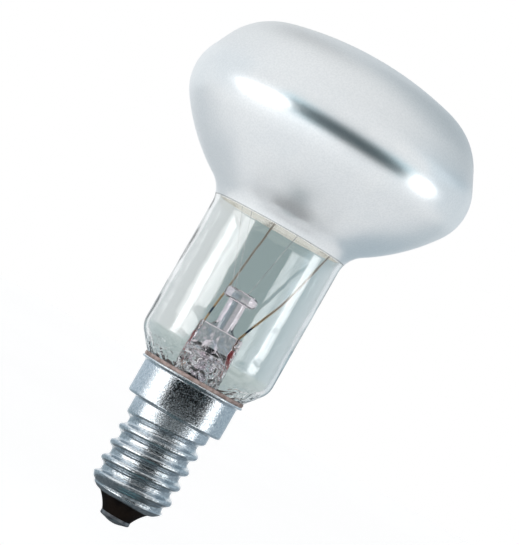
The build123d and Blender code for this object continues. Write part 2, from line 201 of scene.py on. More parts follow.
# The cup below the tip: inner radius, bottom, wall and reach in metres, then its cards
CUP_INNER = 0.003
CUP_BOTTOM = -0.06
CUP_WALL = 0.038
CUP_REACH = 0.072
CUP_CARDS = (
    ("shade_front", (-44, 73), (0.8, 0.95, 1.0), 0.06),
    ("shade_left", (-180, -44), (0.8, 0.92, 1.0), 0.17),
    ("shade_right", (73, 180), (0.8, 0.92, 1.0), 0.15),
)

# The throat's shade, in metres: inner and outer radius, bottom and reach
SHADE_INNER = 0.004
SHADE_OUTER = 0.0185
SHADE_BOTTOM = -0.03
SHADE_REACH = 0.1

# The card behind the lamp, in metres: half its side, its place and where its tints change
BACK_HALF = 0.09
BACK_PLACE = (0, 0.2, 0.03)
BACK_LEFT = (-0.0185, -0.004)
BACK_RIGHT = (0.004, 0.0185)
BACK_LOW = (0.004, 0.012)

# Soft lamps: name, place and side in metres, and power in watts
LAMP_AIM = Vector((0, 0, 0.03))
LAMPS = (
    ("lamp_left", (-0.45, -0.35, 0.25), 0.5, 1.0),
    ("lamp_right", (0.5, -0.2, 0.2), 0.4, 0.3),
    ("lamp_front", (-0.15, -0.6, 0.02), 0.4, 1.0),
)

# The camera's sensor in millimetres, and its clipping in metres
SENSOR_HEIGHT = 36
CLIP_START = 0.01
CLIP_END = 100


def length(name, default, about):
    """A length in metres that a user can change."""
    return FloatProperty(
        name=name, description=about, default=default, unit="LENGTH", subtype="DISTANCE", precision=5
    )


def tilt(name, default, about):
    """An angle, given in degrees, that a user can change."""
    return FloatProperty(name=name, description=about, default=radians(default), subtype="ANGLE")


def colour(name, default, about):
    """A linear colour that a user can change."""
    return FloatVectorProperty(
        name=name, description=about, default=default, size=3, subtype="COLOR", min=0, max=1
    )


class LampBulbSettings(bpy.types.PropertyGroup):
    """Sizes of the blown glass, as in the solid model."""

    wall: length("Wall", 0.0007, "Thickness of the glass")
    neck_r: length("Neck radius", 0.0117, "Outer radius of the clear neck")
    head_r: length("Head radius", 0.025, "Outer radius of the head at its widest")
    front_z: length("Front", 0.06585, "Height of the front of the dome")
    equator_z: length("Equator", 0.0511, "Height of the widest ring")
    equator_r: length("Equator bend", 0.0085, "Radius of the bend at the widest ring")
    corner_r: length("Corner bend", 0.0113, "Radius of the bend between flank and dome")
    corner_inset: length("Corner inset", 0.01245, "From the side of the head in to the corner's ring")
    dome_r: length("Dome", 0.0567, "Radius of the front dome")
    bowl_r: length("Bowl", 0.0333, "Radius of the rear bowl")
    throat_z: length("Throat", 0.033, "Height where the neck starts to flare")
    throat_r: length("Throat bend", 0.0049, "Radius of the flare")
    shoulder_r: length("Shoulder bend", 0.0037, "Radius of the bend under the neck")
    base_cone: tilt("Base cone", 38, "Slope of the cone under the neck")
    cone_at_lip_r: length("Cone at lip", 0.008475, "Radius of the cone level with the cap's lip")
    lip_z: length("Lip", 0.0064, "Height of the cap's lip")
    seal_r: length("Seal radius", 0.0073, "Outer radius of the glass inside the cap")
    seal_bend: length("Seal bend", 0.0015, "Radius of the bend above the seal")
    silver_low: length("Silver from", 0.0344, "Height where the silvering starts")
    silver_high: length("Silver to", 0.0526, "Height where the silvering ends")
    segments: IntProperty(name="Segments", description="Faces round the bulb", default=192, min=48, max=256)


class LampFinishSettings(bpy.types.PropertyGroup):
    """Colours of the finishes."""

    clear_glass: colour("Clear glass", (0.945, 0.952, 0.952), "Tint of the neck")
    stem_glass: colour("Stem glass", (0.87, 0.795, 0.84), "Tint of the stem")
    stem_tube: colour("Stem tube", (0.86, 0.855, 0.865), "Tint of the crinkled tube under the pinch")
    silver_light: colour("Silver, light", (0.80, 0.825, 0.84), "Satin silvering where it is clean")
    silver_dark: colour("Silver, dark", (0.77, 0.80, 0.82), "Satin silvering where it is thin")
    silver_speck: colour("Silver, speck", (0.35, 0.4, 0.43), "Fine specks over the whole head")
    silver_edge: colour("Silver, edge", (0.12, 0.13, 0.13), "Thin line where the silvering starts")
    frost: colour("Frost", (0.80, 0.825, 0.84), "Frosted front")
    # Colour of the glow painted on the head's inner side, in place of light coming through the frost.
    painted_glow: colour("Daylight", (1.0, 0.99, 0.95), "Light that comes through the frost")
    film: colour("Mirror film", (0.93, 0.92, 0.88), "Mirror inside the head")
    film_dull: colour("Mirror film, dull", (0.88, 0.87, 0.83), "Mirror where it is thin")
    nickel: colour("Nickel", (0.74, 0.78, 0.81), "Plated sheet of the cap")
    nickel_worn: colour("Nickel, dull", (0.55, 0.6, 0.64), "Plated sheet where it is pitted")
    cement_light: colour("Cement, light", (0.47, 0.37, 0.34), "Dry cement")
    cement_dark: colour("Cement, dark", (0.26, 0.19, 0.17), "Scorched cement")
    black_glass: colour("Black glass", (0.006, 0.004, 0.0035), "Insulator of the cap")
    black_glass_worn: colour("Black glass, worn", (0.012, 0.008, 0.006), "Insulator where it is dusty")
    contact: colour("Contact", (0.2, 0.2, 0.22), "Dull plate at the cap's end")
    solder: colour("Solder", (0.42, 0.43, 0.45), "Soft solder")
    lead_cool: colour("Lead", (0.36, 0.33, 0.30), "Nickel lead away from the seal")
    lead_straw: colour("Lead, straw", (0.40, 0.29, 0.17), "Heat tint near the seal")
    lead_blue: colour("Lead, blue", (0.045, 0.06, 0.085), "Darkest band of the heat tint")
    red_oxide: colour("Red oxide", (0.85, 0.09, 0.085), "Skin of the sealed wires")
    red_oxide_dark: colour("Red oxide, dark", (0.7, 0.06, 0.055), "Skin where it is thick")
    copper: colour("Copper", (0.62, 0.31, 0.19), "Outer leads")
    copper_dark: colour("Copper, dark", (0.4, 0.2, 0.12), "Outer leads where they are tarnished")
    tungsten: colour("Tungsten", (0.24, 0.24, 0.255), "Filament")
    tungsten_dark: colour("Tungsten, dark", (0.14, 0.14, 0.15), "Filament where it is darker")
    molybdenum: colour("Support wire", (0.62, 0.64, 0.65), "Supports of the filament")
    molybdenum_dark: colour("Support wire, dark", (0.36, 0.37, 0.38), "Supports where they are dull")


class LampStageSettings(bpy.types.PropertyGroup):
    """Camera, floor and surroundings."""

    distance: length("Distance", 0.415, "From the camera to the point it looks at")
    aim_x: length("Aim across", 0.000645, "Point that the camera looks at, across")
    aim_z: length("Aim height", 0.02682, "Point that the camera looks at, in height")
    pitch: tilt("Pitch", 1.8, "Upward tilt of the camera")
    roll: tilt("Roll", 29.7, "Turn of the camera about its line of sight")
    lens: FloatProperty(
        name="Lens", description="Focal length for a 36 mm high sensor", default=170.0, unit="CAMERA"
    )
    floor_drop: length("Floor drop", 0.09, "From the lamp's tip down to the floor")
    card_r: length("Card distance", 0.6, "Radius of the far ring of studio cards")
    floor_colour: colour("Floor", (0.86, 0.87, 0.88), "Pale floor")
    back_middle: colour("Back card", (0.35, 0.43, 0.43), "What the middle of the neck shows")
    back_left: colour("Back card, left", (0.62, 0.66, 0.66), "What the left of the neck shows")
    back_right: colour("Back card, right", (0.36, 0.46, 0.49), "What the right of the neck shows")
    back_low: colour("Back card, low", (0.40, 0.48, 0.47), "What the cone under the neck shows")


def settings():
    """The three groups of settings of the scene."""
    scene = bpy.context.scene
    return scene.lamp_bulb, scene.lamp_finish, scene.lamp_stage


def above(level, span):
    """A span of heights that is given from a level."""
    return tuple(level + rise for rise in span)


def link(tree, source, target):
    """Joins an output socket to an input socket."""
    tree.links.new(source, target)


def feed(tree, socket, value):
    """Gives an input socket a link, a colour or a number."""
    if isinstance(value, bpy.types.NodeSocket):
        link(tree, value, socket)
    elif socket.type == "RGBA":
        socket.default_value = (*value, 1)
    else:
        socket.default_value = value


def shader_of(material):
    """The shader of a material."""
    return material.node_tree.nodes["Principled BSDF"]


def new_material(name):
    """A material with nodes, its tree and its shader."""
    material = bpy.data.materials.new(name)
    material.use_nodes = True
    return material, material.node_tree, shader_of(material)


def object_point(tree):
    """The surface point in the lamp's own frame."""
    return tree.nodes.new("ShaderNodeTexCoord").outputs["Object"]


def axes_of(tree):
    """The surface point in the lamp's own frame, as one socket for each axis."""
    split = tree.nodes.new("ShaderNodeSeparateXYZ")
    link(tree, object_point(tree), split.inputs["Vector"])
    return split.outputs


def height_of(tree):
    """Height of the surface point on the lamp's axis."""
    return axes_of(tree)["Z"]


def noise_node(tree, scale, detail):
    """A noise texture on the lamp's own frame."""
    noise = tree.nodes.new("ShaderNodeTexNoise")
    link(tree, object_point(tree), noise.inputs["Vector"])
    feed(tree, noise.inputs["Scale"], scale)
    feed(tree, noise.inputs["Detail"], detail)
    return noise


def map_range(tree, source, span, ends=UP, form="SMOOTHSTEP"):
    """Maps a value from a span to two ends, softly unless another form is asked for."""
    node = tree.nodes.new("ShaderNodeMapRange")
    node.interpolation_type = form
    feed(tree, node.inputs["Value"], source)
    for name, value in zip(("From Min", "From Max", "To Min", "To Max"), (*span, *ends)):
        feed(tree, node.inputs[name], value)
    return node.outputs["Result"]


def between(tree, mask, first, second):
    """A value between two, each a socket or a number, by a mask."""
    return map_range(tree, mask, UP, (first, second))


def maths(tree, operation, first, second=0.0):
    """Works out one value from one or two, each a socket or a number."""
    node = tree.nodes.new("ShaderNodeMath")
    node.operation = operation
    for socket, value in zip(node.inputs, (first, second)):
        feed(tree, socket, value)
    return node.outputs["Value"]


def mix_colours(tree, mask, first, second):
    """Mixes two colours, or colour sockets, by a mask."""
    node = tree.nodes.new("ShaderNodeMix")
    node.data_type = "RGBA"
    link(tree, mask, node.inputs["Factor"])
    colours = [s for s in node.inputs if s.type == "RGBA"]
    for socket, value in zip(colours, (first, second)):
        feed(tree, socket, value)
    return next(s for s in node.outputs if s.type == "RGBA")


def group(name, inputs, outputs):
    """An empty shader node group with named sockets, and its ends."""
    tree = bpy.data.node_groups.new(name, "ShaderNodeTree")
    for socket, kind, default in inputs:
        made = tree.interface.new_socket(name=socket, in_out="INPUT", socket_type=kind)
        made.default_value = default
    for socket, kind in outputs:
        tree.interface.new_socket(name=socket, in_out="OUTPUT", socket_type=kind)
    return tree, tree.nodes.new("NodeGroupInput"), tree.nodes.new("NodeGroupOutput")


def grain_group():
    """Fine grain: a roughness between two limits, and a height for bump."""
    found = bpy.data.node_groups.get("fine_grain")
    if found:
        return found
    inputs = [("Scale", NUMBER, 3000.0), ("Low", NUMBER, 0.2), ("High", NUMBER, 0.4)]
    tree, start, end = group("fine_grain", inputs, [("Roughness", NUMBER), ("Height", NUMBER)])
    noise = noise_node(tree, start.outputs["Scale"], 3.0)
    limits = (start.outputs["Low"], start.outputs["High"])
    link(tree, map_range(tree, noise.outputs["Fac"], GRAIN_SPAN, limits), end.inputs["Roughness"])
    link(tree, noise.outputs["Fac"], end.inputs["Height"])
    return tree


def drift_group():
    """Slow drift between two colours over the surface."""
    found = bpy.data.node_groups.get("slow_drift")
    if found:
        return found
    inputs = [("Scale", NUMBER, 200.0), ("First", COLOUR, (*WHITE, 1)), ("Second", COLOUR, (*WHITE, 1))]
    tree, start, end = group("slow_drift", inputs, [("Colour", COLOUR)])
    noise = noise_node(tree, start.outputs["Scale"], 2.0)
    mask = map_range(tree, noise.outputs["Fac"], DRIFT_SPAN)
    mixed = mix_colours(tree, mask, start.outputs["First"], start.outputs["Second"])
    link(tree, mixed, end.inputs["Colour"])
    return tree


def wave_group():
    """Slow waves of blown glass, as a height for bump."""
    found = bpy.data.node_groups.get("slow_waves")
    if found:
        return found
    tree, start, end = group("slow_waves", [("Scale", NUMBER, 210.0)], [("Height", NUMBER)])
    noise = noise_node(tree, start.outputs["Scale"], 1.0)
    link(tree, noise.outputs["Fac"], end.inputs["Height"])
    return tree


def crinkle_group():
    """Crinkles of flame-worked glass, as a height for bump that a depth scales."""
    found = bpy.data.node_groups.get("flame_crinkles")
    if found:
        return found
    inputs = [("Scale", NUMBER, 420.0), ("Depth", NUMBER, 1.0)]
    tree, start, end = group("flame_crinkles", inputs, [("Height", NUMBER)])
    noise = noise_node(tree, start.outputs["Scale"], 1.0)
    noise.inputs["Distortion"].default_value = 1.0
    height = maths(tree, "MULTIPLY", noise.outputs["Fac"], start.outputs["Depth"])
    link(tree, height, end.inputs["Height"])
    return tree


def use_group(tree, made, **values):
    """Places a node group in a material with its own values."""
    node = tree.nodes.new("ShaderNodeGroup")
    node.node_tree = made
    for name, value in values.items():
        feed(tree, node.inputs[name], value)
    return node


def add_bump(tree, shader, height, strength, distance):
    """Raises the surface by a height socket."""
    bump = tree.nodes.new("ShaderNodeBump")
    bump.inputs["Strength"].default_value = strength
    bump.inputs["Distance"].default_value = distance
    link(tree, height, bump.inputs["Height"])
    link(tree, bump.outputs["Normal"], shader.inputs["Normal"])
    return bump


def clear_glass(name, tint, wave, ior, scale):
    """Clear glass with the slow waves of blown glass."""
    material, tree, shader = new_material(name)
    feed(tree, shader.inputs["Base Color"], tint)
    shader.inputs["Transmission Weight"].default_value = 1.0
    shader.inputs["IOR"].default_value = ior
    grain = use_group(tree, grain_group(), Scale=900.0, Low=0.0, High=0.02)
    link(tree, grain.outputs["Roughness"], shader.inputs["Roughness"])
    waves = use_group(tree, wave_group(), Scale=scale)
    add_bump(tree, shader, waves.outputs["Height"], strength=wave, distance=GLASS_WAVES)
    return material


def add_crinkles(material, depth, scale, distance):
    """Adds the crinkles of flame-worked glass over a glass's waves, as deep as a socket says."""
    tree = material.node_tree
    waves = next(n for n in tree.nodes if n.type == "BUMP")
    crinkles = use_group(tree, crinkle_group(), Scale=scale, Depth=depth)
    over = add_bump(tree, shader_of(material), crinkles.outputs["Height"], strength=1.0, distance=distance)
    link(tree, waves.outputs["Normal"], over.inputs["Normal"])


def neck_glass(bulb, finish):
    """Clear glass of the neck, crinkled in the cone that the flame sealed to the stem."""
    material = clear_glass("clear_neck_glass", finish.clear_glass, wave=0.2, ior=BULB_IOR, scale=210.0)
    tree = material.node_tree
    axes = axes_of(tree)
    side = map_range(tree, maths(tree, "ABSOLUTE", axes["X"]), FLAME_SIDES, (CONE_SHARE, 1.0))
    depth = map_range(tree, axes["Z"], above(bulb.lip_z, FLAME_FALL), (side, 0.0))
    add_crinkles(material, depth, scale=620.0, distance=NECK_CRINKLES)
    return material


def crinkled_glass(finish):
    """Stem glass whose tube is crinkled by the flame, and whose pinch is smoother."""
    material = clear_glass("flare_glass", finish.stem_glass, wave=0.3, ior=STEM_IOR, scale=300.0)
    tree = material.node_tree
    pinch = map_range(tree, height_of(tree), PINCH_FOOT)
    tint = mix_colours(tree, pinch, finish.stem_tube, finish.stem_glass)
    link(tree, tint, shader_of(material).inputs["Base Color"])
    add_crinkles(material, between(tree, pinch, 1.0, PINCH_SHARE), scale=420.0, distance=STEM_CRINKLES)
    return material


def silvered_head(bulb, finish):
    """Satin silver on the bowl, a smoother belt at the widest ring and frost on the front."""
    material, tree, shader = new_material("silvered_head")
    height = height_of(tree)
    low = bulb.silver_low
    top = bulb.silver_high
    tints = {"First": finish.silver_light, "Second": finish.silver_dark}
    drift = use_group(tree, drift_group(), Scale=140.0, **tints)
    grain = use_group(tree, grain_group(), Scale=3400.0, Low=0.34, High=0.42)
    front = map_range(tree, height, above(top, FROST_RISE))
    rise = map_range(tree, height, above(top, BELT_RISE))
    belt = map_range(tree, height, above(top, BELT_FALL), (rise, 0.0))
    base = mix_colours(tree, front, drift.outputs["Colour"], finish.frost)
    speck = map_range(tree, grain.outputs["Height"], GRAIN_SPAN, (0.0, SPECK_SHARE))
    base = mix_colours(tree, speck, base, finish.silver_speck)
    edge = map_range(tree, height, above(low, SILVER_LINE), (LINE_SHARE, 0.0))
    base = mix_colours(tree, edge, base, finish.silver_edge)
    link(tree, base, shader.inputs["Base Color"])
    metal = between(tree, front, SATIN_METAL, FROST_METAL)
    link(tree, between(tree, belt, metal, 1.0), shader.inputs["Metallic"])
    satin = map_range(tree, height, above(low, THROAT_RISE), (THROAT_ROUGH, grain.outputs["Roughness"]))
    frosted = between(tree, front, satin, FROST_ROUGH)
    link(tree, between(tree, belt, frosted, BELT_ROUGH), shader.inputs["Roughness"])
    add_bump(tree, shader, grain.outputs["Height"], strength=0.03, distance=METAL_PITS)
    return material


def frost_inside_painted_glow(finish):
    """The inner side of the head, with a painted glow that stands in for light coming through the frost."""
    material, tree, shader = new_material("frost_inside_painted_glow")
    grain = use_group(tree, grain_group(), Scale=1500.0, Low=0.5, High=0.7)
    link(tree, grain.outputs["Roughness"], shader.inputs["Roughness"])
    feed(tree, shader.inputs["Base Color"], finish.frost)
    # Painted glow: the inner side shines by itself in place of light coming through the frost.
    feed(tree, shader.inputs["Emission Color"], finish.painted_glow)
    shader.inputs["Emission Strength"].default_value = FROST_GLOW
    return material


def grained(name, tints, rough, scale, fine, bump, distance):
    """A solid with a slow change between two tints and a fine grain."""
    material, tree, shader = new_material(name)
    drift = use_group(tree, drift_group(), Scale=scale, First=tints[0], Second=tints[1])
    link(tree, drift.outputs["Colour"], shader.inputs["Base Color"])
    grain = use_group(tree, grain_group(), Scale=fine, Low=rough[0], High=rough[1])
    link(tree, grain.outputs["Roughness"], shader.inputs["Roughness"])
    add_bump(tree, shader, grain.outputs["Height"], strength=bump, distance=distance)
    return material


def plain_metal(name, *tints, rough, scale, bump):
    """Metal with two tints and a very fine grain."""
    material = grained(name, tints, rough, scale, METAL_GRAIN, bump, METAL_PITS)
    shader_of(material).inputs["Metallic"].default_value = 1.0
    return material


def matt(name, *tints, rough, scale, bump):
    """A matt solid with two tints and a coarser grain."""
    return grained(name, tints, rough, scale, MATT_GRAIN, bump, MATT_PITS)


def nickel_sheet(finish):
    """Bright plated sheet, pitted on the skirt and barrel and burnished on the rolled thread."""
    tints = (finish.nickel, finish.nickel_worn)
    rough = (NICKEL_CLEAN, NICKEL_PITTED)
    material = plain_metal("nickel_sheet", *tints, rough=rough, scale=2500.0, bump=1.0)
    tree = material.node_tree
    grain = next(n for n in tree.nodes if n.type == "GROUP" and n.node_tree == grain_group())
    pitted = map_range(tree, height_of(tree), THREAD_TOP, (NICKEL_BURNISHED, NICKEL_PITTED))
    link(tree, pitted, grain.inputs["High"])
    return material


def heat_tinted(finish):
    """Nickel wire with a straw and blue heat tint near the seal."""
    material, tree, shader = new_material("heat_tinted_nickel")
    shader.inputs["Metallic"].default_value = 1.0
    height = height_of(tree)
    cool = map_range(tree, height, STRAW_FALL)
    base = mix_colours(tree, cool, finish.lead_straw, finish.lead_cool)
    rise = map_range(tree, height, BLUE_RISE)
    fall = map_range(tree, height, BLUE_FALL, DOWN)
    base = mix_colours(tree, maths(tree, "MULTIPLY", rise, fall), base, finish.lead_blue)
    link(tree, base, shader.inputs["Base Color"])
    grain = use_group(tree, grain_group(), Scale=6000.0, Low=0.3, High=0.5)
    link(tree, grain.outputs["Roughness"], shader.inputs["Roughness"])
    add_bump(tree, shader, grain.outputs["Height"], strength=0.3, distance=METAL_PITS)
    return material


def dress(node, material):
    """Gives a solid's node a finish."""
    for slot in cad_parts[node].material_slots:
        slot.material = material


def new_object(name, bm, *materials):
    """An object at the origin, made from a bmesh."""
    mesh = bpy.data.meshes.new(name)
    bm.to_mesh(mesh)
    bm.free()
    for material in materials:
        mesh.materials.append(material)
    made = bpy.data.objects.new(name, mesh)
    bpy.context.scene.collection.objects.link(made)
    return made


def direction(start, end):
    """Direction from one point of the half section to another."""
    return atan2(end[1] - start[1], end[0] - start[0])


def on_circle(centre, radius, angle):
    """A point on a circle of the half section."""
    return (centre[0] + radius * cos(angle), centre[1] + radius * sin(angle))


def circles_meet(c1, r1, c2, r2):
    """The point nearer the axis where two circles meet."""
    d = hypot(c2[0] - c1[0], c2[1] - c1[1])
    along = (r1**2 - r2**2 + d**2) / (2 * d)
    across = sqrt(r1**2 - along**2)
    ux, uy = (c2[0] - c1[0]) / d, (c2[1] - c1[1]) / d
    foot = (c1[0] + along * ux, c1[1] + along * uy)
    one = (foot[0] - across * uy, foot[1] + across * ux)
    other = (foot[0] + across * uy, foot[1] - across * ux)
    return min(one, other)


def bend(bm, tip, centre, angle, step):
    """Draws the outline on from its tip along an arc, and returns the new tip."""
    made = bmesh.ops.spin(
        bm,
        geom=[tip],
        cent=(centre[0], 0, centre[1]),
        axis=(0, 1, 0),
        angle=-angle,
        steps=max(2, round(abs(angle) / step)),
        use_duplicate=False,
    )
    return next(g for g in made["geom_last"] if isinstance(g, bmesh.types.BMVert))


def run_to(bm, tip, point, count):
    """Draws the outline on from its tip along a straight run, and returns the new tip."""
    step = (Vector((point[0], 0, point[1])) - tip.co) / count
    for _ in range(count):
        tip = grow(bm, tip, step)
    return tip


def grow(bm, tip, step):
    """Draws an edge from a vertex, and returns its new end."""
    end = bmesh.ops.extrude_vert_indiv(bm, verts=[tip])["verts"][0]
    bmesh.ops.translate(bm, verts=[end], vec=step)
    return end


def sweep(bm, angle, steps, **more):
    """Sweeps all that is drawn about the lamp's axis."""
    drawn = bm.verts[:] + bm.edges[:]
    bmesh.ops.spin(bm, geom=drawn, cent=(0, 0, 0), axis=(0, 0, 1), angle=angle, steps=steps, **more)


def lathe(bm, segments):
    """Turns the drawn outline into a closed skin with outward faces."""
    sweep(bm, 2 * pi, segments, use_merge=True)
    bmesh.ops.remove_doubles(bm, verts=bm.verts, dist=MERGE)
    bmesh.ops.recalc_face_normals(bm, faces=bm.faces)
    for face in bm.faces:
        face.smooth = True


class LAMP_OT_envelope(bpy.types.Operator):
    """Blow the glass envelope with its clear neck and silvered head"""

    bl_idname = "lamp.envelope"
    bl_label = "Glass envelope"

    def execute(self, context):
        bulb, finish, _ = settings()
        bm = bmesh.new()
        tip = self.outline_head(bm, bulb)
        self.outline_neck(bm, tip, bulb)
        lathe(bm, bulb.segments)
        for face in bm.faces:
            if face.calc_center_median().z > bulb.silver_low:
                face.material_index = HEAD_SLOT
        glass = neck_glass(bulb, finish)
        head = silvered_head(bulb, finish)
        # The fourth finish, for the head's inner side, carries a painted glow.
        piece = new_object("bulb_envelope", bm, glass, glass, head, frost_inside_painted_glow(finish))
        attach(piece, BODY)
        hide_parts("glass_bulb")
        wall = piece.modifiers.new("wall", "SOLIDIFY")
        wall.thickness = bulb.wall
        wall.offset = -1
        wall.use_even_offset = True
        wall.material_offset = 1
        return {"FINISHED"}

    def outline_head(self, bm, bulb):
        """Draws the outline from the front of the dome to the top of the neck, and returns its tip."""
        throat_c = (bulb.neck_r + bulb.throat_r, bulb.throat_z)
        equator_c = (bulb.head_r - bulb.equator_r, bulb.equator_z)
        dome_c = (0, bulb.front_z - bulb.dome_r)
        ring = bulb.head_r - bulb.corner_inset
        corner_c = (ring, dome_c[1] + sqrt((bulb.dome_r - bulb.corner_r) ** 2 - ring**2))
        to_equator = bulb.bowl_r - bulb.equator_r
        to_throat = bulb.bowl_r + bulb.throat_r
        bowl_c = circles_meet(equator_c, to_equator, throat_c, to_throat)
        throat_end = direction(throat_c, bowl_c)
        bowl_end = direction(bowl_c, equator_c)
        gap = hypot(corner_c[0] - equator_c[0], corner_c[1] - equator_c[1])
        flank = direction(equator_c, corner_c) - acos((bulb.equator_r - bulb.corner_r) / gap)
        dome_start = direction(dome_c, corner_c)
        silver_edge = pi - asin((bulb.silver_low - bulb.throat_z) / bulb.throat_r)
        tip = bm.verts.new((0, 0, bulb.front_z))
        tip = bend(bm, tip, dome_c, dome_start - pi / 2, DOME_STEP)
        tip = bend(bm, tip, corner_c, flank - dome_start, FINE_STEP)
        tip = run_to(bm, tip, on_circle(equator_c, bulb.equator_r, flank), FLANK_RUNS)
        tip = bend(bm, tip, equator_c, bowl_end - flank, FINE_STEP)
        tip = bend(bm, tip, bowl_c, throat_end - pi - bowl_end, BOWL_STEP)
        tip = bend(bm, tip, throat_c, silver_edge - throat_end, FINE_STEP)
        return bend(bm, tip, throat_c, pi - silver_edge, FINE_STEP)

    def outline_neck(self, bm, tip, bulb):
        """Draws the outline on down the neck and its cone to the seal inside the cap."""
        cone = bulb.base_cone
        cone_r = bulb.neck_r - bulb.shoulder_r * (1 - cos(cone))
        cone_z = bulb.lip_z + (cone_r - bulb.cone_at_lip_r) / tan(cone)
        shoulder_c = (bulb.neck_r - bulb.shoulder_r, cone_z + bulb.shoulder_r * sin(cone))
        cone_end_r = bulb.seal_r + bulb.seal_bend * (1 - cos(cone))
        cone_end_z = cone_z - (cone_r - cone_end_r) / tan(cone)
        seal_c = (bulb.seal_r + bulb.seal_bend, cone_end_z - bulb.seal_bend * sin(cone))
        tip = run_to(bm, tip, (bulb.neck_r, shoulder_c[1]), NECK_RUNS)
        tip = bend(bm, tip, shoulder_c, -cone, FINE_STEP)
        tip = run_to(bm, tip, on_circle(seal_c, bulb.seal_bend, pi - cone), CONE_RUNS)
        tip = bend(bm, tip, seal_c, cone, SEAL_STEP)
        run_to(bm, tip, (bulb.seal_r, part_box("glass_bulb")[0][2]), SEAL_RUNS)


class LAMP_OT_silvering(bpy.types.Operator):
    """Finish the mirror film inside the head"""

    bl_idname = "lamp.silvering"
    bl_label = "Mirror film"

    def execute(self, context):
        _, finish, _ = settings()
        tints = (finish.film, finish.film_dull)
        film = plain_metal("mirror_film", *tints, rough=(0.15, 0.3), scale=140.0, bump=0.04)
        dress("mirror_coating", film)
        return {"FINISHED"}


class LAMP_OT_screw_cap(bpy.types.Operator):
    """Finish the screw cap, its cement and its solder"""

    bl_idname = "lamp.screw_cap"
    bl_label = "Screw cap"

    def execute(self, context):
        _, finish, _ = settings()
        dress("cap_shell", nickel_sheet(finish))
        tints = (finish.cement_light, finish.cement_dark)
        dress("cap_cement", matt("baked_cement", *tints, rough=(0.75, 0.95), scale=900.0, bump=0.8))
        tints = (finish.solder, finish.contact)
        solder = plain_metal("soft_solder", *tints, rough=(0.3, 0.5), scale=900.0, bump=0.4)
        dress("shell_solder", solder)
        dress("centre_solder", solder)
        tints = (finish.contact, finish.solder)
        contact = plain_metal("contact_plate", *tints, rough=(0.3, 0.5), scale=800.0, bump=0.4)
        dress("centre_contact", contact)
        tints = (finish.black_glass, finish.black_glass_worn)
        black = matt("black_glass", *tints, rough=(0.45, 0.65), scale=500.0, bump=0.2)
        shader_of(black).inputs["Specular IOR Level"].default_value = BLACK_GLOSS
        dress("cap_insulator", black)
        return {"FINISHED"}


class LAMP_OT_stem(bpy.types.Operator):
    """Finish the glass stem"""

    bl_idname = "lamp.stem"
    bl_label = "Glass stem"

    def execute(self, context):
        _, finish, _ = settings()
        glass = clear_glass("stem_glass", finish.stem_glass, wave=0.5, ior=STEM_IOR, scale=420.0)
        dress("exhaust_tube", glass)
        dress("support_rod", glass)
        dress("stem_flare", crinkled_glass(finish))
        return {"FINISHED"}


class LAMP_OT_wires(bpy.types.Operator):
    """Finish the leads, the sealed wires and the supports"""

    bl_idname = "lamp.wires"
    bl_label = "Wires"

    def execute(self, context):
        _, finish, _ = settings()
        lead = heat_tinted(finish)
        tints = (finish.red_oxide, finish.red_oxide_dark)
        sealed = matt("red_oxide_wire", *tints, rough=(0.3, 0.5), scale=900.0, bump=0.2)
        tints = (finish.copper, finish.copper_dark)
        copper = plain_metal("copper_wire", *tints, rough=(0.25, 0.45), scale=900.0, bump=0.3)
        tints = (finish.molybdenum, finish.molybdenum_dark)
        support = plain_metal("support_wire", *tints, rough=(0.25, 0.4), scale=900.0, bump=0.3)
        finishes = {"inner_lead": lead, "dumet_seal": sealed, "outer_lead": copper, "support_wire": support}
        for kind, material in finishes.items():
            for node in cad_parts:
                if node.startswith(kind):
                    dress(node, material)
        return {"FINISHED"}


class LAMP_OT_filament(bpy.types.Operator):
    """Finish the filament"""

    bl_idname = "lamp.filament"
    bl_label = "Filament"

    def execute(self, context):
        _, finish, _ = settings()
        tints = (finish.tungsten, finish.tungsten_dark)
        dress("filament", plain_metal("tungsten_coil", *tints, rough=(0.35, 0.55), scale=900.0, bump=0.4))
        return {"FINISHED"}


def stage_object(name, bm, material):
    """Makes a thing of the studio from a bmesh."""
    made = new_object(name, bm, material)
    return made


def shine_of(tree):
    """The light of a studio card."""
    return next(n for n in tree.nodes if n.type == "EMISSION")


def card_material(name, tint, strength):
    """A studio card that shines by itself."""
    material = bpy.data.materials.new(name)
    material.use_nodes = True
    tree = material.node_tree
    tree.nodes.clear()
    shine = tree.nodes.new("ShaderNodeEmission")
    feed(tree, shine.inputs["Color"], tint)
    shine.inputs["Strength"].default_value = strength
    out = tree.nodes.new("ShaderNodeOutputMaterial")
    link(tree, shine.outputs["Emission"], out.inputs["Surface"])
    return material


def hide_card(card):
    """Keeps a card out of the picture, the shadows and the light on matt surfaces."""
    card.visible_camera = False
    card.visible_diffuse = False
    card.visible_shadow = False


def limit_reach(card, reach, start=0.0):
    """Lets rays longer than a reach, or shorter than a start, go through a card."""
    tree = card.data.materials[0].node_tree
    out = next(n for n in tree.nodes if n.type == "OUTPUT_MATERIAL")
    ray = tree.nodes.new("ShaderNodeLightPath").outputs["Ray Length"]
    mixed = tree.nodes.new("ShaderNodeMixShader")
    short = maths(tree, "LESS_THAN", ray, reach)
    long = maths(tree, "GREATER_THAN", ray, start)
    link(tree, maths(tree, "MULTIPLY", short, long), mixed.inputs["Fac"])
    link(tree, tree.nodes.new("ShaderNodeBsdfTransparent").outputs["BSDF"], mixed.inputs[1])
    link(tree, shine_of(tree).outputs["Emission"], mixed.inputs[2])
    link(tree, mixed.outputs["Shader"], out.inputs["Surface"])
    card.visible_transmission = False


